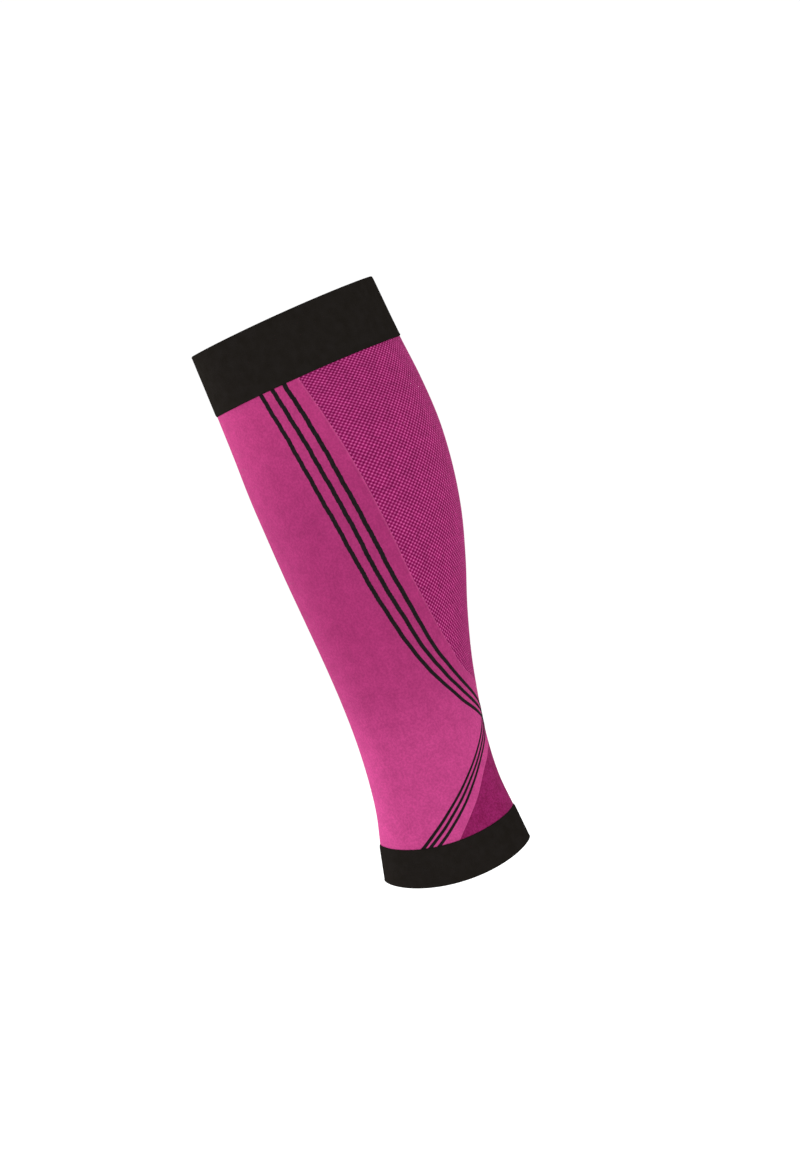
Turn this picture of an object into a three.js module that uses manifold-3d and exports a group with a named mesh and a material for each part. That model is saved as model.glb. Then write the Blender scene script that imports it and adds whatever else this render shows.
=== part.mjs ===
// A knitted calf compression sleeve in the shape it has on a lower leg.
// The leg's axis is +Z towards the knee, the shin faces -Y and the calf +Y.
// The origin is the centre of the lower opening. All lengths are in millimetres.
import * as THREE from "three";
import { mergeVertices } from "three/addons/utils/BufferGeometryUtils.js";
import Module from "manifold-3d";

// Length of the sleeve, the mean of shin side and calf side.
const SLEEVE_LENGTH = 336;

// Outer sizes of the knit round the widest part of the calf and the narrowest part of the ankle.
const CALF_DEPTH = 121;
const CALF_WIDTH = 111;
const ANKLE_DEPTH = 74.4;
const ANKLE_WIDTH = 62.4;
// How far the middle of the calf lies behind the leg's axis.
const CALF_SET_BACK = 9.6;

// Walls of the knit and of the cuffs, and how far the cuffs stand proud of the knit.
const KNIT_WALL = 1.4;
const TOP_CUFF_WALL = 2.0;
const BOTTOM_CUFF_WALL = 2.0;
const CUFF_PROUD = 0.6;

// Cuff heights at the shin and at the back.
const TOP_CUFF_HEIGHT = 38.5;
const BOTTOM_CUFF_HEIGHT = 22;

// The upper edge stands higher at the back than at the shin, the lower edge hangs lower there.
const UPPER_EDGE_TILT = 13;
const LOWER_EDGE_TILT = 1;
// The cuffs' edges rise or hang at the two sides of the leg.
const UPPER_EDGE_RISE = 2;
const TOP_SEAM_RISE = 2.5;
const BOTTOM_SEAM_DIP = 9;
const LOWER_EDGE_DIP = 10.5;
// A power under 2 makes the edges run level along the sides and turn up close to shin and heel cord.
const EDGE_FULLNESS = 1.5;

// Clearance between neighbouring pieces.
const SEAM_GAP = 0.3;

// The black stripes.
const STRIPE_WIDTH = 2.75;
const STRIPE_THICKNESS = 0.5;
// The stripes of one side are thinner by this on both faces, so they end inside those they cross.
const STRIPE_STEP = 0.05;

// Facets: columns round the leg and rows up it.
const CUFF_COLUMNS = 48;
const TOP_CUFF_ROWS = 4;
const BOTTOM_CUFF_ROWS = 3;
const CUFF_EDGE_FACETS = 4;
const FRONT_COLUMNS = 32;
const CALF_COLUMNS = 12;
const ANKLE_COLUMNS = 8;
const ANKLE_ROWS = 5;
const CROSSING_ROWS = 6;
const CALF_ROWS = 15;
const STRIPE_LOW_ROWS = 32;
const STRIPE_HIGH_ROWS = 12;

// Cross-sections of the leg. level: share of the sleeve's length. depth and width: from 0 at the
// ankle's size to 1 at the calf's. centre: share of the calf's set-back. fullness: how much wider
// the back half is than the front half, as a share of the width.
const SECTIONS = [
  { level: 0.0, depth: 0.305, width: 0.15, centre: 0.04, fullness: -0.06 },
  { level: 0.06, depth: 0.174, width: 0.07, centre: 0.06, fullness: -0.09 },
  { level: 0.12, depth: 0.035, width: 0.01, centre: 0.1, fullness: -0.12 },
  { level: 0.18, depth: 0.0, width: 0.0, centre: 0.17, fullness: -0.13 },
  { level: 0.25, depth: 0.042, width: 0.04, centre: 0.29, fullness: -0.11 },
  { level: 0.33, depth: 0.16, width: 0.19, centre: 0.42, fullness: -0.05 },
  { level: 0.41, depth: 0.35, width: 0.42, centre: 0.6, fullness: 0.02 },
  { level: 0.49, depth: 0.585, width: 0.66, centre: 0.83, fullness: 0.07 },
  { level: 0.57, depth: 0.79, width: 0.85, centre: 0.98, fullness: 0.1 },
  { level: 0.65, depth: 0.92, width: 0.96, centre: 1.0, fullness: 0.11 },
  { level: 0.73, depth: 0.985, width: 1.0, centre: 0.89, fullness: 0.1 },
  { level: 0.81, depth: 0.96, width: 0.98, centre: 0.66, fullness: 0.08 },
  { level: 0.89, depth: 0.905, width: 0.93, centre: 0.32, fullness: 0.06 },
  { level: 1.0, depth: 0.86, width: 0.88, centre: -0.11, fullness: 0.04 },
];

// Borders between the knits. rise: share of the height between the cuffs. angle: share of the
// half turn from the shin, 0, to the back of the leg, 1.
const MESH_BORDER = [
  { rise: 0.257, angle: 1.0 },
  { rise: 0.312, angle: 0.822 },
  { rise: 0.371, angle: 0.742 },
  { rise: 0.428, angle: 0.684 },
  { rise: 0.535, angle: 0.609 },
  { rise: 0.639, angle: 0.569 },
  { rise: 0.845, angle: 0.514 },
  { rise: 1.0, angle: 0.469 },
];
const ANKLE_BORDER = [
  { rise: 0.0, angle: 0.536 },
  { rise: 0.028, angle: 0.6 },
  { rise: 0.065, angle: 0.699 },
  { rise: 0.102, angle: 0.795 },
  { rise: 0.127, angle: 0.898 },
  { rise: 0.147, angle: 1.0 },
];

// Middle lines of the three stripes of one side, by the same shares. Past 1 a stripe has crossed
// the back of the leg to the other side. width: share of STRIPE_WIDTH.
const STRIPE_NAMES = ["first", "second", "third"];
const STRIPE_LINES = [
  { rise: 0.0, first: 1.56, second: 1.604, third: 1.641, width: 0.63 },
  { rise: 0.064, first: 1.382, second: 1.424, third: 1.465, width: 0.6 },
  { rise: 0.128, first: 1.198, second: 1.234, third: 1.272, width: 0.57 },
  { rise: 0.195, first: 0.948, second: 1.0, third: 1.049, width: 0.57 },
  { rise: 0.245, first: 0.79, second: 0.842, third: 0.895, width: 0.62 },
  { rise: 0.296, first: 0.688, second: 0.734, third: 0.78, width: 0.68 },
  { rise: 0.343, first: 0.616, second: 0.662, third: 0.707, width: 0.75 },
  { rise: 0.388, first: 0.564, second: 0.609, third: 0.653, width: 0.8 },
  { rise: 0.473, first: 0.496, second: 0.543, third: 0.588, width: 0.88 },
  { rise: 0.557, first: 0.45, second: 0.494, third: 0.539, width: 0.94 },
  { rise: 0.723, first: 0.397, second: 0.443, third: 0.484, width: 1.0 },
  { rise: 0.889, first: 0.358, second: 0.403, third: 0.446, width: 1.0 },
  { rise: 1.0, first: 0.331, second: 0.375, third: 0.419, width: 1.0 },
];

// A smooth curve through one column of a table.
function tableCurve(rows, by, column) {
  const places = rows.map((row) => row[by]);
  const values = rows.map((row) => row[column]);
  const curve = new THREE.CubicInterpolant(places, values, 1, [0]);
  return (place) => curve.evaluate(place)[0];
}

const depthShare = tableCurve(SECTIONS, "level", "depth");
const widthShare = tableCurve(SECTIONS, "level", "width");
const centreShare = tableCurve(SECTIONS, "level", "centre");
const fullnessShare = tableCurve(SECTIONS, "level", "fullness");
const meshBorder = tableCurve(MESH_BORDER, "rise", "angle");
const ankleBorder = tableCurve(ANKLE_BORDER, "rise", "angle");
const stripeWidthShare = tableCurve(STRIPE_LINES, "rise", "width");
const ANKLE_TIP = ANKLE_BORDER.at(-1).rise;
const MESH_TIP = MESH_BORDER[0].rise;

const BOTTOM_SEAM_LEVEL = BOTTOM_CUFF_HEIGHT / SLEEVE_LENGTH;
const TOP_SEAM_LEVEL = 1 - TOP_CUFF_HEIGHT / SLEEVE_LENGTH;

// Height of one of the four edges at an angle. tilt: the shin side's height over the back.
// sideRise: how far it stands higher at the two sides.
function edgeHeight(angle, height, tilt, sideRise) {
  const side = Math.abs(Math.sin(angle * Math.PI)) ** EDGE_FULLNESS;
  return height + (tilt / 2) * Math.cos(angle * Math.PI) + sideRise * side;
}

const lowerEdge = (angle) => edgeHeight(angle, 0, LOWER_EDGE_TILT, -LOWER_EDGE_DIP);
const bottomSeam = (angle) =>
  edgeHeight(angle, BOTTOM_CUFF_HEIGHT, LOWER_EDGE_TILT, -BOTTOM_SEAM_DIP);
const topSeam = (angle) =>
  edgeHeight(angle, SLEEVE_LENGTH - TOP_CUFF_HEIGHT, -UPPER_EDGE_TILT, TOP_SEAM_RISE);
const upperEdge = (angle) => edgeHeight(angle, SLEEVE_LENGTH, -UPPER_EDGE_TILT, UPPER_EDGE_RISE);

// A point of the leg's section at a level, moved out from the knit's outer face by an offset.
function sectionPoint(angle, level, height, offset) {
  const turn = angle * Math.PI;
  const halfDepth = THREE.MathUtils.lerp(ANKLE_DEPTH, CALF_DEPTH, depthShare(level)) / 2;
  const halfWidth = THREE.MathUtils.lerp(ANKLE_WIDTH, CALF_WIDTH, widthShare(level)) / 2;
  const fullness = fullnessShare(level);
  const x = halfWidth * Math.sin(turn) * (1 - fullness * Math.cos(turn));
  const y = CALF_SET_BACK * centreShare(level) - halfDepth * Math.cos(turn);
  const alongX = halfWidth * (Math.cos(turn) - fullness * Math.cos(2 * turn));
  const alongY = halfDepth * Math.sin(turn);
  const length = Math.hypot(alongX, alongY);
  return new THREE.Vector3(
    x + (offset * alongY) / length,
    y - (offset * alongX) / length,
    height,
  );
}

// A point of the knit between the cuffs, at a share of its height.
function knitPoint(angle, rise, offset) {
  const level = THREE.MathUtils.lerp(BOTTOM_SEAM_LEVEL, TOP_SEAM_LEVEL, rise);
  const low = bottomSeam(angle) + SEAM_GAP;
  const high = topSeam(angle) - SEAM_GAP;
  return sectionPoint(angle, level, THREE.MathUtils.lerp(low, high, rise), offset);
}

// The turn, as a share of a half turn, that a length in millimetres takes along a level line, and
// how much longer a sloping line's cut along the level is than its width.
function levelCut(line, rise, width) {
  const step = 0.001;
  const here = knitPoint(line(rise), rise, 0);
  const perTurn = knitPoint(line(rise) + step, rise, 0).distanceTo(here) / step;
  const ahead = Math.min(rise + step, 1);
  const behind = Math.max(rise - step, 0);
  const slide = (line(ahead) - line(behind)) * perTurn;
  const climb = knitPoint(line(rise), ahead, 0).distanceTo(knitPoint(line(rise), behind, 0));
  return (width * Math.hypot(1, slide / climb)) / perTurn;
}

// Evenly spaced values with both ends.
function spaced(from, to, parts) {
  return Array.from({ length: parts + 1 }, (_, i) => THREE.MathUtils.lerp(from, to, i / parts));
}

// A closed geometry from points and four-sided faces. Points that meet become one, and a face
// that shrinks to a line there is dropped.
function closedGeometry(points, faces) {
  const triangles = faces.flatMap(([a, b, c, d]) => [a, b, c, a, c, d]);
  const raw = new THREE.BufferGeometry().setFromPoints(points);
  raw.setIndex(triangles);
  const merged = mergeVertices(raw, 1e-4);
  const index = merged.getIndex().array;
  const kept = [];
  for (let i = 0; i < index.length; i += 3) {
    const [a, b, c] = index.slice(i, i + 3);
    if (a !== b && b !== c && c !== a) kept.push(a, b, c);
  }
  merged.setIndex(kept);
  return merged;
}

// A piece of knit: rows of points between a left and a right border, on an outer and an inner
// face. Where the borders meet at the back of the leg it closes into a ring.
function knitPatch({ rows, left, right, columns, inner, outer }) {
  const across = columns + 1;
  const layer = rows.length * across;
  const points = [outer, inner].flatMap((offset) =>
    rows.flatMap((rise) =>
      spaced(left(rise), right(rise), columns).map((angle) => knitPoint(angle, rise, offset)),
    ),
  );
  const at = (row, column, inside) => inside * layer + row * across + column;
  const isRing = (rise) => right(rise) - left(rise) > 2 - 1e-9;
  const faces = [];
  for (let row = 0; row + 1 < rows.length; row++) {
    for (let column = 0; column < columns; column++) {
      const [a, b] = [at(row, column, 0), at(row, column + 1, 0)];
      const [c, d] = [at(row + 1, column + 1, 0), at(row + 1, column, 0)];
      faces.push([a, b, c, d], [b + layer, a + layer, d + layer, c + layer]);
    }
    if (isRing(rows[row]) && isRing(rows[row + 1])) continue;
    const [low, high] = [at(row, 0, 0), at(row + 1, 0, 0)];
    faces.push([low, high, high + layer, low + layer]);
    faces.push([high + columns, low + columns, low + columns + layer, high + columns + layer]);
  }
  const top = rows.length - 1;
  for (let column = 0; column < columns; column++) {
    const [a, b] = [at(0, column, 0), at(0, column + 1, 0)];
    faces.push([b, a, a + layer, b + layer]);
    const [c, d] = [at(top, column, 0), at(top, column + 1, 0)];
    faces.push([c, d, d + layer, c + layer]);
  }
  return closedGeometry(points, faces);
}

// A cuff: a band round the leg between two edges, with a rounded upper and lower end.
function cuffBand({ lowLevel, highLevel, low, high, wall, rows }) {
  const outer = CUFF_PROUD;
  const radius = wall / 2;
  const middle = outer - radius;
  const profile = [];
  const addEnd = (share, sense) => {
    for (let i = 0; i <= CUFF_EDGE_FACETS; i++) {
      const turn = (i / CUFF_EDGE_FACETS) * Math.PI;
      const lift = sense * (radius * Math.sin(turn) - radius);
      profile.push({ share, offset: middle + sense * radius * Math.cos(turn), lift });
    }
  };
  const between = spaced(0, 1, rows).slice(1, -1);
  addEnd(1, 1);
  between.toReversed().forEach((share) => profile.push({ share, offset: outer - wall, lift: 0 }));
  addEnd(0, -1);
  between.forEach((share) => profile.push({ share, offset: outer, lift: 0 }));

  const points = [];
  for (let column = 0; column < CUFF_COLUMNS; column++) {
    const angle = (2 * column) / CUFF_COLUMNS - 1;
    for (const { share, offset, lift } of profile) {
      const height = THREE.MathUtils.lerp(low(angle), high(angle), share) + lift;
      const level = THREE.MathUtils.lerp(lowLevel, highLevel, share);
      points.push(sectionPoint(angle, level, height, offset));
    }
  }
  const count = profile.length;
  const faces = [];
  for (let column = 0; column < CUFF_COLUMNS; column++) {
    const next = ((column + 1) % CUFF_COLUMNS) * count;
    for (let i = 0; i < count; i++) {
      const j = (i + 1) % count;
      faces.push([column * count + i, next + i, next + j, column * count + j]);
    }
  }
  return closedGeometry(points, faces);
}

// The middle line of a stripe as a function of the rise. side: 1 or -1, the side of its upper end.
function stripeBorders(name, side) {
  const line = tableCurve(STRIPE_LINES, "rise", name);
  const half = (rise) => levelCut(line, rise, (STRIPE_WIDTH * stripeWidthShare(rise)) / 2);
  const near = (rise) => line(rise) - half(rise);
  const far = (rise) => line(rise) + half(rise);
  return side > 0
    ? { left: near, right: far }
    : { left: (rise) => -far(rise), right: (rise) => -near(rise) };
}

// The share of the height at which a border reaches the back of the leg.
function riseAtBack(border, from, to) {
  let [open, shut] = [from, to];
  for (let i = 0; i < 40; i++) {
    const middle = (open + shut) / 2;
    if (border(middle) < 1) open = middle;
    else shut = middle;
  }
  return open;
}

const wasm = await Module();
wasm.setup();

function toManifold(geometry) {
  return new wasm.Manifold(new wasm.Mesh({
    numProp: 3,
    vertProperties: new Float32Array(geometry.getAttribute("position").array),
    triVerts: new Uint32Array(geometry.getIndex().array),
  }));
}

function toGeometry(manifold) {
  const { vertProperties, triVerts } = manifold.getMesh();
  const geometry = new THREE.BufferGeometry();
  geometry.setAttribute("position", new THREE.BufferAttribute(vertProperties, 3));
  geometry.setIndex(new THREE.BufferAttribute(triVerts, 1));
  return geometry;
}

function topCuff() {
  return cuffBand({
    lowLevel: TOP_SEAM_LEVEL,
    highLevel: 1,
    low: topSeam,
    high: upperEdge,
    wall: TOP_CUFF_WALL,
    rows: TOP_CUFF_ROWS,
  });
}

function bottomCuff() {
  return cuffBand({
    lowLevel: 0,
    highLevel: BOTTOM_SEAM_LEVEL,
    low: lowerEdge,
    high: bottomSeam,
    wall: BOTTOM_CUFF_WALL,
    rows: BOTTOM_CUFF_ROWS,
  });
}

// The plain knit: round the shin and the sides, and all round the leg where the stripes cross.
function frontPanel() {
  const border = (rise) => {
    if (rise < ANKLE_TIP) return ankleBorder(rise);
    return rise > MESH_TIP ? meshBorder(rise) : 1;
  };
  const rows = [
    ...spaced(0, ANKLE_TIP, ANKLE_ROWS).slice(0, -1),
    ...spaced(ANKLE_TIP, MESH_TIP, CROSSING_ROWS).slice(0, -1),
    ...spaced(MESH_TIP, 1, CALF_ROWS),
  ];
  return knitPatch({
    rows,
    left: (rise) => -border(rise),
    right: border,
    columns: FRONT_COLUMNS,
    inner: -KNIT_WALL,
    outer: 0,
  });
}

// The panel that fills a notch of the plain knit, one gap inside its border.
function notchPanel({ border, from, to, tip, parts, columns }) {
  const inside = (rise) => border(rise) + levelCut(border, rise, SEAM_GAP);
  const tipRise = riseAtBack(inside, tip === "low" ? to : from, tip === "low" ? from : to);
  const edge = (rise) => (rise === tipRise ? 1 : inside(rise));
  return knitPatch({
    rows: tip === "low" ? spaced(tipRise, to, parts) : spaced(from, tipRise, parts),
    left: edge,
    right: (rise) => 2 - edge(rise),
    columns,
    inner: -KNIT_WALL,
    outer: 0,
  });
}

function calfPanel() {
  return notchPanel({
    border: meshBorder,
    from: MESH_TIP,
    to: 1,
    tip: "low",
    parts: CALF_ROWS,
    columns: CALF_COLUMNS,
  });
}

function anklePanel() {
  return notchPanel({
    border: ankleBorder,
    from: 0,
    to: ANKLE_TIP,
    tip: "high",
    parts: ANKLE_ROWS,
    columns: ANKLE_COLUMNS,
  });
}

// Six ribbons on the knit, fused where they cross.
function stripes() {
  const bend = MESH_BORDER[2].rise;
  const rows = [
    ...spaced(0, bend, STRIPE_LOW_ROWS).slice(0, -1),
    ...spaced(bend, 1, STRIPE_HIGH_ROWS),
  ];
  let fused = null;
  for (const side of [1, -1]) {
    const step = side > 0 ? 0 : STRIPE_STEP;
    for (const name of STRIPE_NAMES) {
      const ribbon = toManifold(knitPatch({
        rows,
        ...stripeBorders(name, side),
        columns: 1,
        inner: SEAM_GAP + step,
        outer: SEAM_GAP + STRIPE_THICKNESS - step,
      }));
      fused = fused ? fused.add(ribbon) : ribbon;
    }
  }
  return toGeometry(fused);
}

function yarn(color, roughness) {
  return new THREE.MeshStandardMaterial({ color, roughness, metalness: 0 });
}

const blackKnit = yarn(0x1b191a, 0.85);
const pinkKnit = yarn(0xc44183, 0.8);
const meshKnit = yarn(0xa52d73, 0.85);
const darkPinkKnit = yarn(0x91235f, 0.85);
const stripeYarn = yarn(0x16141a, 0.85);

const pieces = [
  ["top_cuff", topCuff, blackKnit],
  ["front_panel", frontPanel, pinkKnit],
  ["calf_panel", calfPanel, meshKnit],
  ["ankle_panel", anklePanel, darkPinkKnit],
  ["stripes", stripes, stripeYarn],
  ["bottom_cuff", bottomCuff, blackKnit],
];

const sleeve = new THREE.Group();
for (const [name, build, material] of pieces) {
  const mesh = new THREE.Mesh(build(), material);
  mesh.name = name;
  sleeve.add(mesh);
}

export default sleeve;
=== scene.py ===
# %% [markdown]
# # A calf compression sleeve
#
# The sleeve is one knitted tube, worn on the lower leg and held there by the stretch of its yarn.
# It has two black elastic cuffs, a plain pink knit over the shin, an openwork mesh over the calf,
# a darker triangle at the back of the ankle, and three thin black stripes on each side that cross
# at the back.
#
# The script starts from the fixed model of the sleeve. Every piece below takes the place of one
# of its nodes, in the same frame: metres, +Z up the leg, the shin towards -Y, the calf towards +Y.

# %% Load the fixed frame
import math

import bpy
import numpy as np
from mathutils import Matrix, Vector


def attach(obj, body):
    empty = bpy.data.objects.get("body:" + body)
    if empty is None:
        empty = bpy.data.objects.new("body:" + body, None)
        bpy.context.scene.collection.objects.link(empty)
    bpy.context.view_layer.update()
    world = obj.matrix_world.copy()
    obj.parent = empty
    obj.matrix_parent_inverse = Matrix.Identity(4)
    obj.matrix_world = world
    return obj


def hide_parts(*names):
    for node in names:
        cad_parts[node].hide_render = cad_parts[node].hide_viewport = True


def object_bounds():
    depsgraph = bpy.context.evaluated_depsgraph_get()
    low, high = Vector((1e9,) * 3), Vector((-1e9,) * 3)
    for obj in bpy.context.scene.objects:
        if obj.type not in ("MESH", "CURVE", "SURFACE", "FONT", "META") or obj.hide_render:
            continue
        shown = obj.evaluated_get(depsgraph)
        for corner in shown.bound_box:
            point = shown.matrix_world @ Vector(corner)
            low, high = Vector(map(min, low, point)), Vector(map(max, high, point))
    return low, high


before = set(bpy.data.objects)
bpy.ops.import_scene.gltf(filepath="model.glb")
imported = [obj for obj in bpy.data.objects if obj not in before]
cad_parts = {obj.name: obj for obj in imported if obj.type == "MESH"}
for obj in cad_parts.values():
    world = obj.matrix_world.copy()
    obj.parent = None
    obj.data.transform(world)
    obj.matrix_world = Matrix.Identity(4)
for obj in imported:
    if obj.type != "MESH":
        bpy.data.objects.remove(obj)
cad_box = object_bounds()
bpy.context.scene.view_settings.view_transform = "Standard"
print("nodes:", sorted(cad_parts))
print("CAD box:", [[round(x, 4) for x in corner] for corner in cad_box])

# %% [markdown]
# ## The camera
#
# The photograph was taken from the sleeve's outer side with a long lens, nearly level. The sleeve
# leans there, with its top to the upper left of the picture. Here it stands upright and the
# camera is rolled instead: its own up direction leans by the same angle.
#
# The camera aims at the point of the sleeve that the middle of the picture shows. With that, no
# lens shift is needed.

# %% Aim the camera
PICTURE_HEIGHT = 1151  # pixels of the photograph, whose picture is 800 wide
PIXELS_PER_METRE = 1700  # at the sleeve's axis
CAMERA_DISTANCE = 4.0  # metres
CAMERA_ABOVE = math.radians(2.5)
SLEEVE_LEAN = math.radians(17.71)
AIM = Vector((0.0, 0.0189, 0.1697))
SENSOR = 36.0  # millimetres

camera = bpy.data.objects.new("camera", bpy.data.cameras.new("camera"))
bpy.context.scene.collection.objects.link(camera)
bpy.context.scene.camera = camera
camera.data.sensor_width = SENSOR
camera.data.lens = SENSOR * PIXELS_PER_METRE * CAMERA_DISTANCE / PICTURE_HEIGHT

to_camera = Vector((math.cos(CAMERA_ABOVE), 0, math.sin(CAMERA_ABOVE)))
level_right = Vector((0, 1, 0))
level_up = to_camera.cross(level_right)
right = level_right * math.cos(SLEEVE_LEAN) - level_up * math.sin(SLEEVE_LEAN)
up = level_right * math.sin(SLEEVE_LEAN) + level_up * math.cos(SLEEVE_LEAN)
camera.matrix_world = Matrix.Translation(AIM + to_camera * CAMERA_DISTANCE) @ Matrix(
    (right, up, to_camera)
).transposed().to_4x4()
print("lens:", round(camera.data.lens, 1), "mm")

# %% [markdown]
# ## The shape of the leg in numbers
#
# A worn sleeve has the shape of the leg inside it. A short table describes that shape: each row
# is a cross-section, with its depth, its width, how far it sits back, and how much fuller the
# calf side is than the shin side. Between the rows a smooth curve fills in the rest.
#
# The lengths here are in millimetres, which are easier to read for a thing of this size. They
# are turned into metres when a mesh is made.

# %% Sections of the leg
SLEEVE_LENGTH = 336.0
CALF_DEPTH, CALF_WIDTH = 121.0, 111.0
ANKLE_DEPTH, ANKLE_WIDTH = 74.4, 62.4
CALF_SET_BACK = 9.6
KNIT_WALL = 1.4

SECTION_COLUMNS = ("level", "depth", "width", "centre", "fullness")
SECTIONS = np.array(
    [
        (0.0, 0.305, 0.15, 0.04, -0.06),
        (0.06, 0.174, 0.07, 0.06, -0.09),
        (0.12, 0.035, 0.01, 0.1, -0.12),
        (0.18, 0.0, 0.0, 0.17, -0.13),
        (0.25, 0.042, 0.04, 0.29, -0.11),
        (0.33, 0.16, 0.19, 0.42, -0.05),
        (0.41, 0.35, 0.42, 0.6, 0.02),
        (0.49, 0.585, 0.66, 0.83, 0.07),
        (0.57, 0.79, 0.85, 0.98, 0.1),
        (0.65, 0.92, 0.96, 1.0, 0.11),
        (0.73, 0.985, 1.0, 0.89, 0.1),
        (0.81, 0.96, 0.98, 0.66, 0.08),
        (0.89, 0.905, 0.93, 0.32, 0.06),
        (1.0, 0.86, 0.88, -0.11, 0.04),
    ]
)


def smooth_curve(places, values, at):
    """A smooth curve through values at places, read at many places at once."""
    at = np.clip(np.asarray(at, float), places[0], places[-1])
    high = np.clip(np.searchsorted(places, at, side="right"), 1, len(places) - 1)
    low = high - 1
    before = np.where(low > 0, low - 1, high)
    after = np.where(high < len(places) - 1, high + 1, low)
    span = places[high] - places[low]
    share = (at - places[low]) / span
    pull_low = span / 2 / (places[low] - places[before])
    pull_high = span / 2 / (places[after] - places[high])
    square, cube = share**2, share**3
    return (
        (-pull_low * cube + 2 * pull_low * square - pull_low * share) * values[before]
        + ((1 + pull_low) * cube - (1.5 + 2 * pull_low) * square + (pull_low - 0.5) * share + 1)
        * values[low]
        + (-(1 + pull_high) * cube + (1.5 + pull_high) * square + 0.5 * share) * values[high]
        + (pull_high * cube - pull_high * square) * values[after]
    )


def section(column, level):
    values = SECTIONS[:, SECTION_COLUMNS.index(column)]
    return smooth_curve(SECTIONS[:, 0], values, level)


print("sections:", len(SECTIONS))

# %% [markdown]
# ## From a section to a point
#
# Any point of the sleeve is given by an angle round the leg, a level along it and an offset out
# from the knit's face. The angle is a share of a half turn: 0 at the shin, 1 at the back of the
# leg, 2 at the shin again.
#
# The sleeve's edges aren't level rings. The upper edge stands higher at the back, and the lower
# cuff hangs lower at the two sides of the ankle. Four small functions hold these edges, and the
# knit is stretched evenly between them.

# %% Edges and points
TOP_CUFF_HEIGHT, BOTTOM_CUFF_HEIGHT = 38.5, 22.0
UPPER_EDGE_TILT, LOWER_EDGE_TILT = 13.0, 1.0
UPPER_EDGE_RISE, TOP_SEAM_RISE = 2.0, 2.5
BOTTOM_SEAM_DIP, LOWER_EDGE_DIP = 9.0, 10.5
EDGE_FULLNESS = 1.5
BOTTOM_SEAM_LEVEL = BOTTOM_CUFF_HEIGHT / SLEEVE_LENGTH
TOP_SEAM_LEVEL = 1 - TOP_CUFF_HEIGHT / SLEEVE_LENGTH


def edge_height(angle, height, tilt, side_rise):
    turn = np.pi * np.asarray(angle)
    return height + tilt / 2 * np.cos(turn) + side_rise * np.abs(np.sin(turn)) ** EDGE_FULLNESS


def lower_edge(angle):
    return edge_height(angle, 0, LOWER_EDGE_TILT, -LOWER_EDGE_DIP)


def bottom_seam(angle):
    return edge_height(angle, BOTTOM_CUFF_HEIGHT, LOWER_EDGE_TILT, -BOTTOM_SEAM_DIP)


def top_seam(angle):
    return edge_height(angle, SLEEVE_LENGTH - TOP_CUFF_HEIGHT, -UPPER_EDGE_TILT, TOP_SEAM_RISE)


def upper_edge(angle):
    return edge_height(angle, SLEEVE_LENGTH, -UPPER_EDGE_TILT, UPPER_EDGE_RISE)


def leg_points(angle, level, height, offset):
    """Points in millimetres, moved out from the knit's outer face by an offset."""
    turn = np.pi * np.asarray(angle)
    half_depth = (ANKLE_DEPTH + (CALF_DEPTH - ANKLE_DEPTH) * section("depth", level)) / 2
    half_width = (ANKLE_WIDTH + (CALF_WIDTH - ANKLE_WIDTH) * section("width", level)) / 2
    fullness = section("fullness", level)
    x = half_width * np.sin(turn) * (1 - fullness * np.cos(turn))
    y = CALF_SET_BACK * section("centre", level) - half_depth * np.cos(turn)
    along_x = half_width * (np.cos(turn) - fullness * np.cos(2 * turn))
    along_y = half_depth * np.sin(turn)
    length = np.hypot(along_x, along_y)
    height = np.broadcast_to(height, np.shape(x))
    return np.stack([x + offset * along_y / length, y - offset * along_x / length, height], -1)


def knit_points(angle, rise, offset):
    """Points between the cuffs. rise is the share of the height from cuff to cuff."""
    level = BOTTOM_SEAM_LEVEL + (TOP_SEAM_LEVEL - BOTTOM_SEAM_LEVEL) * rise
    low, high = bottom_seam(angle), top_seam(angle)
    return leg_points(angle, level, low + (high - low) * rise, offset)


# %% [markdown]
# ## Stitches
#
# A circular knitting machine makes the tube with the same number of needles all the way down, so
# the columns of stitches, called wales, spread out over the calf and close up at the ankle. The
# rows are called courses. Counting in wales and courses gives every part of the sleeve its right
# place. Wale 0 runs down the shin, and half of all wales further on is the back of the leg.

# %% The knitting grid
WALES = 480
COURSES = 436
BACK = WALES // 2

two_wales = knit_points(np.array([0.5, 0.5 + 2 / WALES]), np.array([0.7, 0.7]), 0)
print("wale at the calf:", round(float(np.linalg.norm(two_wales[1] - two_wales[0])), 2), "mm")
print("course:", round((SLEEVE_LENGTH - TOP_CUFF_HEIGHT - BOTTOM_CUFF_HEIGHT) / COURSES, 2), "mm")

# %% [markdown]
# ## Where one knit ends and the next begins
#
# The mesh covers the back of the calf and narrows to a point. The dark triangle does the same
# from below. Both borders are tables of shares again, and one half is enough, because the two
# sides of the sleeve are mirror images.
#
# Each course gets its own border place in wales. The nearest point of the grid is moved onto it,
# so the border is a clean line, as on the real sleeve, and both knits share its points.

# %% Borders between the knits
MESH_BORDER = np.array(
    [
        (0.257, 1.0),
        (0.312, 0.822),
        (0.371, 0.742),
        (0.428, 0.684),
        (0.535, 0.609),
        (0.639, 0.569),
        (0.845, 0.514),
        (1.0, 0.469),
    ]
)
ANKLE_BORDER = np.array(
    [(0.0, 0.536), (0.028, 0.6), (0.065, 0.699), (0.102, 0.795), (0.127, 0.898), (0.147, 1.0)]
)
MESH_TIP = round(MESH_BORDER[0, 0] * COURSES)
ANKLE_TIP = round(ANKLE_BORDER[-1, 0] * COURSES)

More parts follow.
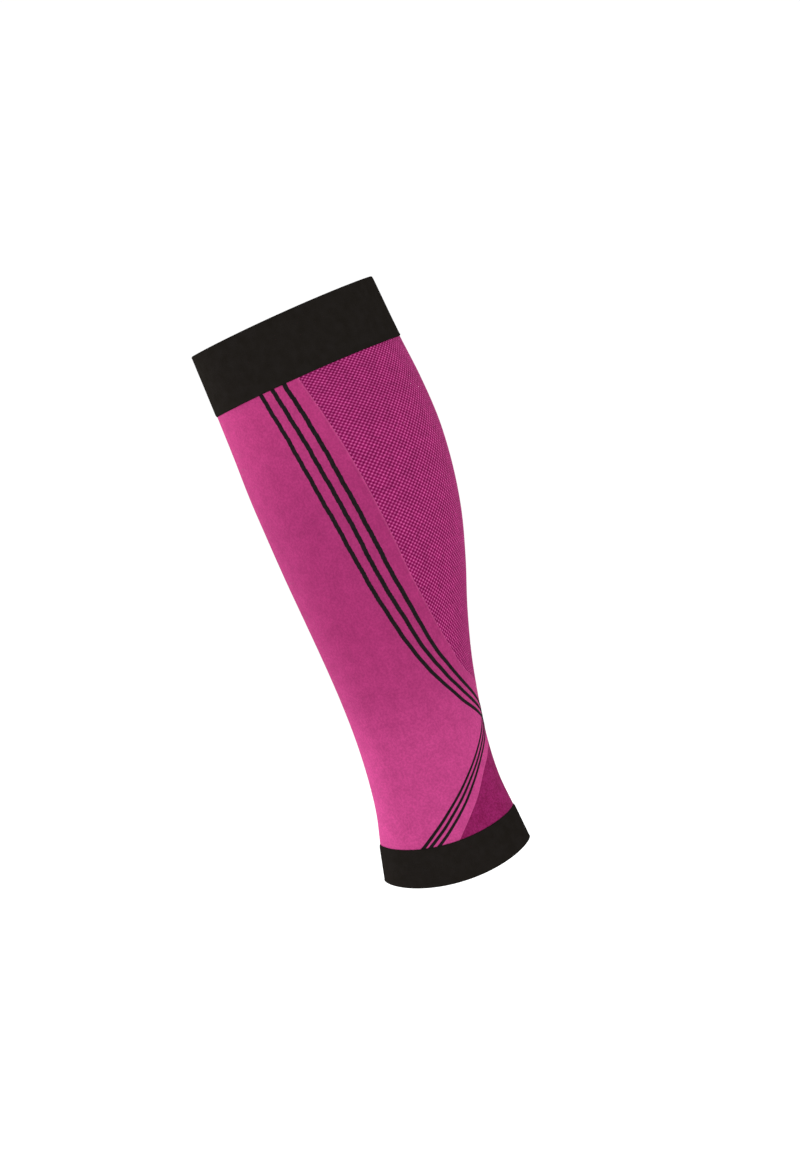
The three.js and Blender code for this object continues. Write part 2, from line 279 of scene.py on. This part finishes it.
rises = np.arange(COURSES + 1) / COURSES
border = np.full(COURSES + 1, float(BACK))
border[MESH_TIP:] = BACK * smooth_curve(MESH_BORDER[:, 0], MESH_BORDER[:, 1], rises[MESH_TIP:])
border[: ANKLE_TIP + 1] = BACK * smooth_curve(
    ANKLE_BORDER[:, 0], ANKLE_BORDER[:, 1], rises[: ANKLE_TIP + 1]
)
border[[ANKLE_TIP, MESH_TIP]] = BACK
border_column = np.round(border).astype(int)
print("tips at courses", ANKLE_TIP, "and", MESH_TIP)

# %% [markdown]
# ## One function for the three knits
#
# Each knit becomes a closed shell with an outer face, an inner face and a wall along its rim.
# Between two courses lies a strip of faces. It starts at the left border, goes on in equal steps
# of wales and ends at the right border, so only its two end faces have an odd shape.
#
# The mesh needs a step of one wale outside, because its eyelets are real dents. The plain knit is
# smooth and does with wider faces, and so does every inner side.
#
# Two maps go with the faces. One holds wale and course, for the stitches. The other holds how
# many wales it is to the border, for a finish that changes along the rim. Between the dark
# triangle and the mesh the plain knit closes round the back, so it has no border there. The mesh
# gets a third map, for its net.

# %% Turn points and faces into an object
MM = 0.001


def new_object(name, points, faces, **uv_maps):
    """A mesh object from points in millimetres. A map has one pair for each corner of each face."""
    mesh = bpy.data.meshes.new(name)
    mesh.from_pydata([tuple(p) for p in np.asarray(points) * MM], [], faces)
    for map_name, pairs in uv_maps.items():
        layer = mesh.uv_layers.new(name=map_name)
        layer.data.foreach_set("uv", np.asarray(pairs, float).ravel())
    mesh.polygons.foreach_set("use_smooth", [True] * len(mesh.polygons))
    mesh.update()
    made = bpy.data.objects.new(name, mesh)
    bpy.context.scene.collection.objects.link(made)
    print(name, len(mesh.polygons), "faces")
    return made


# %% Lay strips of faces


def columns_between(start, end, step):
    """The grid columns from start to end, both included, at whole steps between them."""
    low, high = min(start, end), max(start, end)
    inner = [c for c in range(-(-low // step) * step, high + 1, step) if low < c < high]
    found = [low, *inner, high] if high > low else [low]
    return found if start <= end else found[::-1]


def face_between(row, low_ends, high_ends, step):
    """One face from a stretch of a course to a stretch of the next, as (course, column)."""
    low = columns_between(*low_ends, step)
    high = columns_between(*high_ends, step)
    return [(row, c) for c in low] + [(row + 1, c) for c in high]


def strip_faces(row, left, right, step):
    """The faces between a course and the next. An end face with two corners is left out."""
    first = -(-max(left[row], left[row + 1]) // step) * step
    last = min(right[row], right[row + 1]) // step * step
    if first > last:
        yield face_between(row, (left[row], right[row]), (right[row + 1], left[row + 1]), step)
        return
    left_end = face_between(row, (left[row], first), (first, left[row + 1]), step)
    right_end = face_between(row, (last, right[row]), (right[row + 1], last), step)
    if len(left_end) > 2:
        yield left_end
    for c in range(first, last, step):
        yield [(row, c), (row, c + step), (row + 1, c + step), (row + 1, c)]
    if len(right_end) > 2:
        yield right_end


def rim_faces(row, left, right, steps, is_top):
    """The wall along the first or the last course, where outside and inside steps differ."""
    outside = columns_between(left[row], right[row], steps[0])
    inside = columns_between(left[row], right[row], steps[1])
    for start, end in zip(inside, inside[1:]):
        outer = [(row, c, 0) for c in outside if start <= c <= end]
        inner = [(row, end, 1), (row, start, 1)]
        yield outer + inner if is_top else outer[::-1] + inner[::-1]


# %% Collect the faces of a shell


def shell_faces(rows, left, right, steps):
    """All faces of a shell, each a list of (course, column, 0 outside or 1 inside)."""
    faces = []
    for row in range(*rows):
        for face in strip_faces(row, left, right, steps[0]):
            faces.append([(r, c, 0) for r, c in face])
        for face in strip_faces(row, left, right, steps[1]):
            faces.append([(r, c, 1) for r, c in face[::-1]])
        if right[row] - left[row] == WALES and right[row + 1] - left[row + 1] == WALES:
            continue  # closed round the back, so there is no wall
        for side, order in ((right, (1, 0)), (left, (0, 1))):
            a, b = ((row + k, side[row + k]) for k in order)
            faces.append([(*a, 0), (*b, 0), (*b, 1), (*a, 1)])
    faces += rim_faces(rows[0], left, right, steps, False)
    faces += rim_faces(rows[1], left, right, steps, True)
    return faces


# %% Build a knit


def knit_shell(name, rows, left, right, steps, relief=None, **more_maps):
    """A shell from course to course between two borders. steps: wales per face, out and in."""
    faces = shell_faces(rows, left, right, steps)
    corners = np.array([corner for face in faces for corner in face])
    course, column, inside = corners.T
    on_left = column == left[course]
    on_right = column == right[course]
    at_border = on_left | on_right
    exact = np.where(column % WALES <= BACK, border[course], WALES - border[course])
    turns = np.floor(column / WALES) * WALES
    wale = np.where(at_border, exact + turns, column).astype(float)
    keys = (course * WALES + column % WALES) * 2 + inside
    used, first_seen, place = np.unique(keys, return_index=True, return_inverse=True)
    offset = np.where(inside == 1, -KNIT_WALL, 0.0)[first_seen]
    if relief is not None:
        free = (inside == 0) & ~at_border & (course > rows[0]) & (course < rows[1])
        offset += np.where(free, relief(wale, course), 0.0)[first_seen]
    points = knit_points(wale[first_seen] * 2 / WALES, course[first_seen] / COURSES, offset)
    sizes = np.array([len(face) for face in faces])
    face_list = [part.tolist() for part in np.split(place, np.cumsum(sizes)[:-1])]
    to_border = border[course] - np.abs((wale + BACK) % WALES - BACK)
    to_border[border[course] >= BACK] = BACK
    maps = {"stitches": np.stack([wale, course], 1), "rim": np.stack([to_border, course], 1)}
    for map_name, place_in in more_maps.items():
        maps[map_name] = np.stack(place_in(wale, course), 1)
    return new_object(name, points, face_list, **maps)


# %% [markdown]
# ## The plain knit
#
# The largest piece goes round the shin and the sides of the leg, and all the way round where the
# stripes cross. On the real sleeve it is a tight, smooth knit, so its surface stays smooth and
# its stitches come from the material.

# %% Plain knit
plain_knit_piece = knit_shell("plain_knit", (0, COURSES), -border_column, border_column, (4, 8))

# %% [markdown]
# ## The mesh knit
#
# The mesh over the calf has small eyelets, each row set off by half a step from the one before.
# Seen from a little way off it is a chequered net of light knots and dark holes. A product of
# two waves gives just that: its peaks are the knots and its troughs the eyelets. The eyelets are
# pressed in deeper than the knots stand out.
#
# The worn net is turned by a few degrees against the tube, and its rows crowd together towards
# the upper cuff. So a stitch first gets its place in the net.

# %% Mesh knit
EYELET_DEPTH, KNOT_HEIGHT = 0.24, 0.1  # millimetres
NET_REPEAT = 4  # steps of the net from one eyelet to the next
NET_PER_WALE, NET_PER_COURSE = 1.05, 1.02  # steps across per wale, steps along per course
NET_LEAN, NET_TURN = 0.1, 0.06  # steps across per course, steps along per wale
CROWD_FROM = 0.8 * COURSES  # the course above which the rows crowd together
CROWD = 0.26  # more steps along per course at the upper cuff


def net_place(wale, course):
    """Steps across and along the net."""
    crowded = CROWD / 2 * np.maximum(course - CROWD_FROM, 0) ** 2 / (COURSES - CROWD_FROM)
    across = NET_PER_WALE * wale + NET_LEAN * course
    along = NET_PER_COURSE * course + NET_TURN * wale + crowded
    return across, along


def mesh_relief(wale, course):
    across, along = net_place(wale, course)
    net = np.cos(2 * np.pi / NET_REPEAT * across) * np.cos(2 * np.pi / NET_REPEAT * along)
    return np.where(net > 0, KNOT_HEIGHT, EYELET_DEPTH) * net


mesh_knit_piece = knit_shell(
    "mesh_knit",
    (MESH_TIP, COURSES),
    border_column,
    WALES - border_column,
    (1, 4),
    mesh_relief,
    net=net_place,
)

# %% [markdown]
# ## The dark triangle
#
# At the back of the ankle the knit is denser and darker. It fills the space between the lower
# cuff and the crossing of the stripes.

# %% Ankle knit
ankle_knit_piece = knit_shell(
    "ankle_knit", (0, ANKLE_TIP), border_column, WALES - border_column, (2, 4)
)

# %% [markdown]
# ## The cuffs
#
# A cuff is a band of elastic rib, a little thicker than the knit and standing a little proud of
# it, with softly rounded edges. It is swept round the leg: one closed outline of the band's
# cut, repeated for every angle. Fine ribs run up the band, as a small wave of the outline's
# outer side.

# %% Cuffs
CUFF_PROUD = 0.6
CUFF_WALL = 2.0
CUFF_RIBS = 240
RIB_COLUMNS = 4
RIB_DEPTH = 0.1
ROUND_STEPS = 10
INNER_STEPS = 8


def cuff_outline(steps):
    """Shares of the height, offsets and lifts round the band's cut, and how much rib each has."""
    radius = CUFF_WALL / 2
    middle = CUFF_PROUD - radius
    turn = np.linspace(0, np.pi, ROUND_STEPS + 1)
    up_side = np.linspace(0, 1, steps + 1)[1:-1]
    down_side = np.linspace(1, 0, INNER_STEPS + 1)[1:-1]
    share = np.concatenate(
        [up_side, np.ones(ROUND_STEPS + 1), down_side, np.zeros(ROUND_STEPS + 1)]
    )
    offset = np.concatenate(
        [
            np.full(len(up_side), CUFF_PROUD),
            middle + radius * np.cos(turn),
            np.full(len(down_side), CUFF_PROUD - CUFF_WALL),
            middle - radius * np.cos(turn),
        ]
    )
    lift = np.concatenate(
        [
            np.zeros(len(up_side)),
            radius * (np.sin(turn) - 1),
            np.zeros(len(down_side)),
            radius * (1 - np.sin(turn)),
        ]
    )
    rib = np.clip((offset - middle) / radius, 0, 1)
    return share, offset, lift, rib


def cuff(name, low, high, low_level, high_level, steps):
    share, offset, lift, rib = cuff_outline(steps)
    count = len(share)
    columns = CUFF_RIBS * RIB_COLUMNS
    angle = np.arange(columns) * 2 / columns
    wave = 0.5 * np.cos(2 * np.pi * np.arange(columns) / RIB_COLUMNS) - 0.5
    angles = np.repeat(angle, count)
    heights = (low(angle)[:, None] + (high(angle) - low(angle))[:, None] * share + lift).ravel()
    levels = np.tile(low_level + (high_level - low_level) * share, columns)
    offsets = (offset + RIB_DEPTH * wave[:, None] * rib).ravel()
    points = leg_points(angles, levels, heights, offsets)

    column, place = np.divmod(np.arange(columns * count), count)
    here = column * count
    after = (column + 1) % columns * count
    above = (place + 1) % count
    faces = np.stack([here + place, after + place, after + above, here + above], 1)
    around = np.cumsum(np.hypot(np.diff(np.append(offset, offset[0])), 1.0))
    u = np.stack([column, column + 1, column + 1, column], 1) / RIB_COLUMNS
    v = np.stack([around[place] - 1, around[place] - 1, around[place], around[place]], 1)
    return new_object(name, points, faces.tolist(), stitches=np.stack([u, v], -1).reshape(-1, 2))


top_cuff_piece = cuff("top_cuff_rib", top_seam, upper_edge, TOP_SEAM_LEVEL, 1.0, 24)
bottom_cuff_piece = cuff("bottom_cuff_rib", lower_edge, bottom_seam, 0.0, BOTTOM_SEAM_LEVEL, 14)

# %% [markdown]
# ## The stripes
#
# Each stripe is black yarn knitted into the tube. It can only move over by whole wales, so its
# edges have little steps, and it wanders a bit on its way. The middle lines of the three stripes
# are one more table; past an angle of 1 a stripe has crossed the back of the leg and runs down
# the other side. The last column says how wide the stripes are, as a share of the full width.
#
# Every stripe is a thin closed ribbon with a domed top that lies on the knit. A small swell
# every other course gives it the beads of its stitches.

# %% Lines of the stripes
STRIPE_LINES = np.array(
    [
        (0.0, 1.56, 1.604, 1.641, 0.63),
        (0.064, 1.382, 1.424, 1.465, 0.6),
        (0.128, 1.198, 1.234, 1.272, 0.57),
        (0.195, 0.948, 1.0, 1.049, 0.57),
        (0.245, 0.79, 0.842, 0.895, 0.62),
        (0.296, 0.688, 0.734, 0.78, 0.68),
        (0.343, 0.616, 0.662, 0.707, 0.75),
        (0.388, 0.564, 0.609, 0.653, 0.8),
        (0.473, 0.496, 0.543, 0.588, 0.88),
        (0.557, 0.45, 0.494, 0.539, 0.94),
        (0.723, 0.397, 0.443, 0.484, 1.0),
        (0.889, 0.358, 0.403, 0.446, 1.0),
        (1.0, 0.331, 0.375, 0.419, 1.0),
    ]
)
STRIPE_NUMBERS = (1, 2, 3)
WIDTH_COLUMN = 4
STRIPE_WIDTH = 2.75
STRIPE_STATIONS = 3 * COURSES


def stripe_column(rise, column):
    return smooth_curve(STRIPE_LINES[:, 0], STRIPE_LINES[:, column], rise)


# %% The way of a stripe
STEP_SHARE = 0.34  # how far the middle line jumps to whole wales, from 0 to 1
WANDER = 0.12  # wales
SLOW_WANDER, FAST_WANDER = 61, 143  # radians from cuff to cuff
WANDER_SHIFT = 2.1  # radians from one stripe to the next
NUDGE = 0.001  # of a half turn, to measure how long a turn is


def stripe_path(rise, number, side):
    """The angle of the middle line and half the width, as an angle too."""
    smooth = stripe_column(rise, number)
    wales = smooth * WALES / 2
    phase = WANDER_SHIFT * number + side
    wander = np.sin(SLOW_WANDER * rise + phase) + np.sin(FAST_WANDER * rise + 2 * phase)
    wales = wales + STEP_SHARE * (np.round(wales) - wales) + WANDER * wander

    path = knit_points(smooth, rise, 0.0)
    beside = knit_points(smooth + NUDGE, rise, 0.0)
    per_turn = np.linalg.norm(beside - path, axis=1) / NUDGE
    slope = np.gradient(smooth, rise) * per_turn / np.gradient(path[:, 2], rise)
    width = STRIPE_WIDTH * stripe_column(rise, WIDTH_COLUMN)
    return wales * 2 / WALES, width / 2 * np.hypot(1, slope) / per_turn


# %% The cut of a stripe
STRIPE_ACROSS = 6  # faces
STRIPE_HEIGHT = 0.22
STRIPE_SINK = 0.1  # how deep the underside lies in the knit
EDGE_SHARE, DOME_SHARE, BEAD_SHARE = 0.25, 0.6, 0.15  # of the height
BEAD_COURSES = 2


def stripe_ring(number, side):
    """Points of one ribbon: stations along it by places round its cut."""
    rise = np.linspace(0, 1, STRIPE_STATIONS + 1)
    line, half = stripe_path(rise, number, side)
    across = np.linspace(-1, 1, STRIPE_ACROSS + 1)
    dome = 1 - across**4
    bead = 0.5 + 0.5 * np.cos(2 * np.pi * rise * COURSES / BEAD_COURSES)
    offset = STRIPE_HEIGHT * (EDGE_SHARE + dome * (DOME_SHARE + BEAD_SHARE * bead[:, None]))
    angle = line[:, None] + half[:, None] * across
    top = knit_points(angle, rise[:, None], offset)
    bottom = knit_points(angle[:, ::-1], rise[:, None], -STRIPE_SINK)
    ring = np.concatenate([top, bottom[:, [0, -1]]], axis=1)
    return ring if side > 0 else ring[:, ::-1] * (-1, 1, 1)


# %% Make the stripes


def stripes():
    points, faces, uv, start = [], [], [], 0
    courses_per_station = COURSES / STRIPE_STATIONS
    for side, number in ((s, n) for s in (1, -1) for n in STRIPE_NUMBERS):
        ring = stripe_ring(number, side)
        stations, count = ring.shape[:2]
        points.append(ring.reshape(-1, 3))
        station, place = np.divmod(np.arange((stations - 1) * count), count)
        beside = (place + 1) % count
        low, high = start + station * count, start + (station + 1) * count
        faces += np.stack([low + place, low + beside, high + beside, high + place], 1).tolist()
        across = np.stack([place, place + 1, place + 1, place], 1) / STRIPE_ACROSS * 2
        along = (station[:, None] + np.array([0, 0, 1, 1])) * courses_per_station
        uv += np.stack([across, along], -1).reshape(-1, 2).tolist()
        faces.append([start + i for i in range(count)][::-1])
        faces.append([start + (stations - 1) * count + i for i in range(count)])
        uv += [(0, 0)] * count * 2
        start += stations * count
    return new_object("black_stripes", np.concatenate(points), faces, stitches=uv)


stripes_piece = stripes()

# %% [markdown]
# ## Materials
#
# Every finish starts from the same idea: a knitted stitch is a small V of yarn. Two waves make
# it. One runs up the fabric and is pushed upwards on both sides of the wale, which turns flat
# bands into Vs. The other rounds off each leg of the V. The result drives a bump, and in the
# plain and ankle knits it also darkens the grooves between the yarns, as painted shade.
#
# The waves read the stitch coordinates of the mesh, so the pattern stays on the cloth from every
# side. Soft clouds of noise add the unevenness of dyed yarn.

# %% Small helpers for shader nodes


def linear(red, green, blue):
    """A colour as seen on screen, 0 to 255, turned into the shader's linear values."""
    return [*(((c / 255 + 0.055) / 1.055) ** 2.4 for c in (red, green, blue)), 1.0]


WHITE = (1, 1, 1, 1)
YARN_LOW = 0.3  # height of the yarn between two stitches


class Finish:
    """A material under construction, with short ways to add the nodes that are used here."""

    def __init__(self, name):
        self.material = bpy.data.materials.new(name)
        self.material.use_nodes = True
        self.nodes = self.material.node_tree.nodes
        self.links = self.material.node_tree.links
        self.shader = self.nodes["Principled BSDF"]

    def add(self, kind, **settings):
        made = self.nodes.new(kind)
        for key, value in settings.items():
            setattr(made, key, value)
        return made

    def math(self, operation, *values):
        made = self.add("ShaderNodeMath", operation=operation)
        for socket, value in zip(made.inputs, values):
            if isinstance(value, (int, float)):
                socket.default_value = value
            else:
                self.links.new(value, socket)
        return made.outputs[0]

    def stitches(self, map_name="stitches"):
        """The two numbers of a map, such as the wale and the course."""
        uv = self.add("ShaderNodeUVMap", uv_map=map_name)
        parts = self.add("ShaderNodeSeparateXYZ")
        self.links.new(uv.outputs[0], parts.inputs[0])
        return parts.outputs[0], parts.outputs[1]

    def wave(self, value):
        """A wave from 0 to 1 and back, once per unit of value."""
        angle = self.math("MULTIPLY", value, 2 * math.pi)
        return self.math("MULTIPLY_ADD", self.math("COSINE", angle), 0.5, 0.5)

    def knit(self, wale, course):
        """The height of the yarn, from 0 in a groove to 1 on a stitch."""
        in_wale = self.math("FRACT", wale)
        from_middle = self.math("ABSOLUTE", self.math("SUBTRACT", in_wale, 0.5))
        yarn = self.wave(self.math("ADD", course, from_middle))
        yarn = self.math("MULTIPLY_ADD", yarn, 1 - YARN_LOW, YARN_LOW)
        side = self.math("SINE", self.math("MULTIPLY", in_wale, 2 * math.pi))
        return self.math("SQRT", self.math("MULTIPLY", yarn, self.math("ABSOLUTE", side)))

    def clouds(self, scale, detail=3.0):
        """Soft noise from 0 to 1, in the object's own space."""
        place = self.add("ShaderNodeTexCoord")
        noise = self.add("ShaderNodeTexNoise")
        self.links.new(place.outputs["Object"], noise.inputs["Vector"])
        noise.inputs["Scale"].default_value = scale
        noise.inputs["Detail"].default_value = detail
        return noise.outputs["Fac"]

    def ramp(self, value, *stops):
        made = self.add("ShaderNodeValToRGB")
        elements = made.color_ramp.elements
        while len(elements) < len(stops):
            elements.new(0.5)
        for element, (place, colour) in zip(elements, stops):
            element.position = place
            element.color = colour
        self.links.new(value, made.inputs[0])
        return made.outputs[0]

    def mix(self, share, first, second, blend="MIX"):
        made = self.add("ShaderNodeMix", data_type="RGBA", blend_type=blend)
        sockets = (made.inputs[0], made.inputs[6], made.inputs[7])  # the share and two colours
        for socket, value in zip(sockets, (share, first, second)):
            if hasattr(value, "is_output"):
                self.links.new(value, socket)
            else:
                socket.default_value = value
        return made.outputs[2]

    def multiply(self, colour, *others):
        for other in others:
            colour = self.mix(1.0, colour, other, "MULTIPLY")
        return colour

    def bump(self, height, distance):
        made = self.add("ShaderNodeBump")
        made.inputs["Strength"].default_value = 1.0
        made.inputs["Distance"].default_value = distance
        self.links.new(height, made.inputs["Height"])
        self.links.new(made.outputs[0], self.shader.inputs["Normal"])

    def done(self, colour, roughness, sheen=0.0, sheen_tint=WHITE, specular=0.04):
        self.links.new(colour, self.shader.inputs["Base Color"])
        self.shader.inputs["Roughness"].default_value = roughness
        self.shader.inputs["Sheen Weight"].default_value = sheen
        self.shader.inputs["Sheen Roughness"].default_value = 0.45
        self.shader.inputs["Sheen Tint"].default_value = sheen_tint
        self.shader.inputs["Specular IOR Level"].default_value = specular
        return self.material


# %% [markdown]
# ### Plain pink knit
#
# The yarn is a bright cool pink. A ramp along the courses makes it lighter towards the ankle and
# below the upper cuff, and deeper over the calf. That is partly the knit's stretch, which opens the
# stitches over the calf, and partly painted light: the brighter lower part of the leg, where more
# light falls. Small clouds make the dye a little uneven, and the grooves between the stitches are
# darker, as painted shade. Along the mesh and the dark triangle runs one lighter wale, where the
# plain knit ends.

# %% Plain knit finish
RIM_WALES = 1.6
KNIT_ROUGHNESS = 0.85
KNIT_SHEEN = 0.03
SHEEN_PINK = linear(255, 120, 190)


def plain_finish():
    f = Finish("plain_knit")
    wale, course = f.stitches()
    height = f.knit(wale, course)
    # Partly painted light: this ramp lightens the lower leg and the top below the cuff as falling
    # light would, on top of the deeper colour of the stretched calf.
    tone_and_painted_light = f.ramp(
        f.math("DIVIDE", course, COURSES),
        (0.06, linear(214, 78, 148)),
        (0.2, linear(211, 76, 145)),
        (0.32, linear(191, 64, 129)),
        (0.46, linear(183, 58, 122)),
        (0.72, linear(181, 57, 121)),
        (0.95, linear(197, 65, 131)),
    )
    clouds = f.ramp(f.clouds(130, 4.0), (0.3, linear(240, 238, 240)), (0.7, WHITE))
    specks = f.ramp(f.clouds(800, 1.0), (0.35, linear(236, 232, 236)), (0.65, WHITE))
    # Painted shade: the grooves between the stitches are darkened.
    groove_shade = f.ramp(height, (0.0, linear(205, 195, 205)), (0.6, WHITE))
    colour = f.multiply(tone_and_painted_light, clouds, specks, groove_shade)
    to_border, _ = f.stitches("rim")
    rim = f.math("SUBTRACT", 1.0, f.math("DIVIDE", to_border, RIM_WALES))
    rim = f.math("MULTIPLY", f.math("MINIMUM", f.math("MAXIMUM", rim, 0.0), 1.0), 0.5)
    colour = f.mix(rim, colour, linear(226, 96, 160))
    f.bump(height, 0.00012)
    return f.done(colour, KNIT_ROUGHNESS, KNIT_SHEEN, SHEEN_PINK)


# %% [markdown]
# ### Mesh knit
#
# The same pair of waves that shaped the eyelets now colours them: dark in the holes, as painted
# shade where the eyelets look into the shaded inside of the tube, and light on the knots.

# %% Mesh knit finish


def mesh_finish():
    f = Finish("mesh_knit")
    wale, course = f.stitches()
    across, along = f.stitches("net")
    across = f.math("COSINE", f.math("MULTIPLY", across, 2 * math.pi / NET_REPEAT))
    along = f.math("COSINE", f.math("MULTIPLY", along, 2 * math.pi / NET_REPEAT))
    net = f.math("MULTIPLY_ADD", f.math("MULTIPLY", across, along), 0.5, 0.5)
    # Painted shade: the low end of this ramp darkens the eyelets as if into shade; the high end is
    # the light yarn of the knots.
    yarn = f.ramp(
        net,
        (0.12, linear(130, 6, 76)),
        (0.42, linear(154, 34, 101)),
        (0.66, linear(180, 53, 121)),
        (0.9, linear(222, 98, 167)),
    )
    clouds = f.ramp(f.clouds(120), (0.3, linear(236, 236, 236)), (0.7, WHITE))
    specks = f.ramp(f.clouds(600, 1.0), (0.35, linear(228, 224, 228)), (0.65, WHITE))
    f.bump(f.knit(wale, course), 0.0001)
    colour = f.multiply(yarn, clouds, specks)
    return f.done(colour, KNIT_ROUGHNESS, KNIT_SHEEN, SHEEN_PINK)


# %% [markdown]
# ### Dark ankle knit
#
# The same yarn knitted tighter, with more of the dark elastic thread showing as a fine grain.

# %% Ankle knit finish


def ankle_finish():
    f = Finish("ankle_knit")
    wale, course = f.stitches()
    height = f.knit(wale, course)
    clouds = f.ramp(f.clouds(160), (0.3, linear(147, 32, 94)), (0.7, linear(161, 40, 108)))
    grain = f.ramp(f.clouds(900, 1.0), (0.35, linear(222, 205, 215)), (0.65, WHITE))
    # Painted shade: the grooves between the stitches are darkened.
    groove_shade = f.ramp(height, (0.0, linear(185, 175, 185)), (0.6, WHITE))
    f.bump(height, 0.0001)
    colour = f.multiply(clouds, grain, groove_shade)
    return f.done(colour, KNIT_ROUGHNESS, KNIT_SHEEN, SHEEN_PINK)


# %% [markdown]
# ### Black cuff rib and stripe yarn
#
# Black cloth is never quite black: its fibres catch a little light. The cuffs are a dark warm
# grey with no shine at all, so they stay even all round. The yarn of the stripes is smoother and
# has a trace of sheen.

# %% Black finishes


def cuff_finish():
    f = Finish("cuff_rib")
    rib, along = f.stitches()
    clouds = f.ramp(f.clouds(200), (0.3, linear(29, 26, 23)), (0.7, linear(33, 30, 28)))
    f.bump(f.knit(rib, along), 0.0001)
    return f.done(clouds, 0.95, specular=0.0)


def stripe_finish():
    f = Finish("stripe_yarn")
    across, along = f.stitches()
    clouds = f.ramp(f.clouds(500), (0.3, linear(22, 19, 20)), (0.7, linear(34, 28, 31)))
    f.bump(f.knit(across, along), 0.0001)
    return f.done(clouds, KNIT_ROUGHNESS, 0.02, linear(190, 170, 185), specular=0.05)


# %% [markdown]
# ## Putting the pieces in the frame
#
# Each piece gets its finish, rides on the one body of the frame and stands for its node. The
# knits are cloth that is stretched over the leg.

# %% Dress the frame
BODY = "root"
cuff_material = cuff_finish()
DRESSED = (
    (plain_knit_piece, "front_panel", "plain_knit", plain_finish()),
    (mesh_knit_piece, "calf_panel", "mesh_knit", mesh_finish()),
    (ankle_knit_piece, "ankle_panel", "ankle_knit", ankle_finish()),
    (top_cuff_piece, "top_cuff", "cuff_knit", cuff_material),
    (bottom_cuff_piece, "bottom_cuff", "cuff_knit", cuff_material),
    (stripes_piece, "stripes", "stripe_yarn", stripe_finish()),
)
for piece, node, slot_name, material in DRESSED:
    piece.data.materials.append(material)
    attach(piece, BODY)
    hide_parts(node)

# %% [markdown]
# ## Cloth sizes
#
# A piece of cloth also has a size when it lies flat and slack. The worn tube is stretched round
# the leg but hardly along it, so the flat width is the worn width divided by the stretch, and the
# length stays. The widths are measured on the knit's face, course by course.

ROUND_STRETCH = 1.25
FLAT_POINTS = 97  # places measured on a course


def width_round(level_points):
    """Length of a line of points round the leg, in metres and slack."""
    steps = np.linalg.norm(np.diff(level_points, axis=0), axis=1)
    return steps.sum() * MM / ROUND_STRETCH


def flat_knit(rows, left, right):
    """Width, length and area of a knit that is laid out flat."""
    widths = []
    for course in range(rows[0], rows[1] + 1):
        angles = np.linspace(left[course], right[course], FLAT_POINTS) * 2 / WALES
        rise = np.full(FLAT_POINTS, course / COURSES)
        widths.append(width_round(knit_points(angles, rise, 0.0)))
    knit_length = (SLEEVE_LENGTH - TOP_CUFF_HEIGHT - BOTTOM_CUFF_HEIGHT) * MM
    length = knit_length / COURSES * (rows[1] - rows[0])
    return (max(widths), length), float(np.mean(widths)) * length


def flat_cuff(level, height):
    angles = np.linspace(0, 2, FLAT_POINTS)
    width = width_round(leg_points(angles, np.full(FLAT_POINTS, level), 0.0, 0.0))
    return (width, height * MM), width * height * MM


opposite = WALES - border_column
FLAT = {
    plain_knit_piece: flat_knit((0, COURSES), -border_column, border_column),
    mesh_knit_piece: flat_knit((MESH_TIP, COURSES), border_column, opposite),
    ankle_knit_piece: flat_knit((0, ANKLE_TIP), border_column, opposite),
    top_cuff_piece: flat_cuff((1 + TOP_SEAM_LEVEL) / 2, TOP_CUFF_HEIGHT),
    bottom_cuff_piece: flat_cuff(BOTTOM_SEAM_LEVEL / 2, BOTTOM_CUFF_HEIGHT),
}
for piece, (flat, area) in FLAT.items():
    print(piece.name, "flat", [round(x, 3) for x in flat], "m,", round(area * 1e4), "cm2")

# %% [markdown]
# ## Floor and light
#
# The photograph has a plain white ground. A pale floor below the sleeve and a white world give
# the same, and both are bright enough that no horizon shows. One large soft lamp stands to the
# left and a little behind, so only the rim of the shin catches more light, as in the photograph.

# %% Stage
FLOOR_BELOW = 0.14
HALF_FLOOR = 30.0
FLOOR_GREY = (0.98, 0.98, 0.98, 1)
WORLD_STRENGTH = 1.04

floor_mesh = bpy.data.meshes.new("floor")
corners = [(x * HALF_FLOOR, y * HALF_FLOOR, 0) for x, y in ((-1, -1), (1, -1), (1, 1), (-1, 1))]
floor_mesh.from_pydata(corners, [], [(0, 1, 2, 3)])
floor = bpy.data.objects.new("floor", floor_mesh)
floor.location.z = cad_box[0].z - FLOOR_BELOW
bpy.context.scene.collection.objects.link(floor)
floor_paint = Finish("floor")
floor_paint.shader.inputs["Base Color"].default_value = FLOOR_GREY
floor_paint.shader.inputs["Roughness"].default_value = 0.9
floor_paint.shader.inputs["Specular IOR Level"].default_value = 0.0
floor_mesh.materials.append(floor_paint.material)

world = bpy.data.worlds.new("studio")
world.use_nodes = True
world.node_tree.nodes["Background"].inputs["Color"].default_value = WHITE
world.node_tree.nodes["Background"].inputs["Strength"].default_value = WORLD_STRENGTH
bpy.context.scene.world = world
print("floor at", round(floor.location.z, 4), "m")

# %% Lamp
LAMP_PLACE = Vector((-1.5, -1.9, 1.1))
LAMP_SIZE = 0.9  # metres
LAMP_POWER = 48  # watts

lamp = bpy.data.lights.new("rim", "AREA")
lamp.shape = "DISK"
lamp.size = LAMP_SIZE
lamp.energy = LAMP_POWER
lamp_object = bpy.data.objects.new("rim", lamp)
bpy.context.scene.collection.objects.link(lamp_object)
lamp_object.location = LAMP_PLACE
lamp_object.rotation_euler = (AIM - LAMP_PLACE).to_track_quat("-Z", "Y").to_euler()
print("lamp:", round((AIM - LAMP_PLACE).length, 2), "m from the sleeve")
